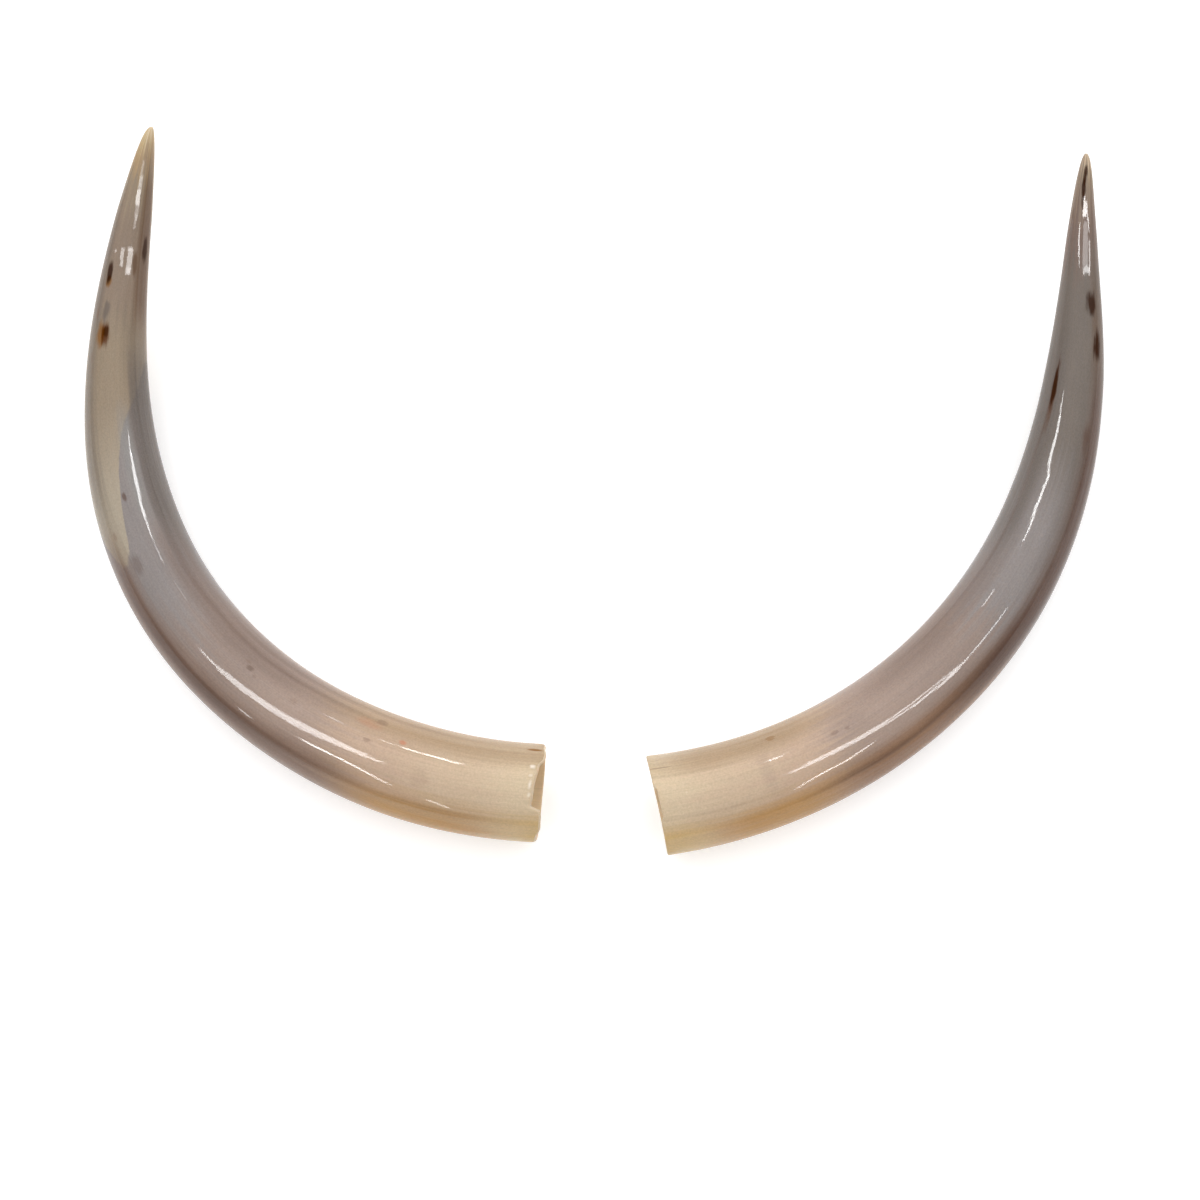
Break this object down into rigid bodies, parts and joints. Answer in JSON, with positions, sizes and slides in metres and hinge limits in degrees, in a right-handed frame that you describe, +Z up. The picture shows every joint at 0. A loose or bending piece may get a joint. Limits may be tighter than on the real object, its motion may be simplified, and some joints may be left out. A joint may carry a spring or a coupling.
{
  "type": "pair of polished cow horns",
  "caption": "Long curved polished cow horns, matched left and right, sawn and hollow at the wide end and solid to the raised tip, lying on their bellies as a display or craft piece.",
  "frame": {"origin": "middle of the pair's footprint, on the ground it lies on", "axes": "+Z up; +X from the left horn to the right one, across both cut ends; +Y from the cut ends towards the tips"},
  "size_m": [1.0858, 0.7692, 0.1313],
  "materials": {
    "left_horn": "polished natural horn: cream at the cut end, pinkish tan and mauve grey along the bend, with a pale patch and brown flecks, and a tan tip",
    "right_horn": "polished natural horn: cream at the cut end, mauve grey along the bend, darker along the outer side, with a dark tip and a few brown flecks"
  },
  "bodies": {
    "root": {"left_horn": "left_horn", "right_horn": "right_horn"}
  },
  "joints": []
}
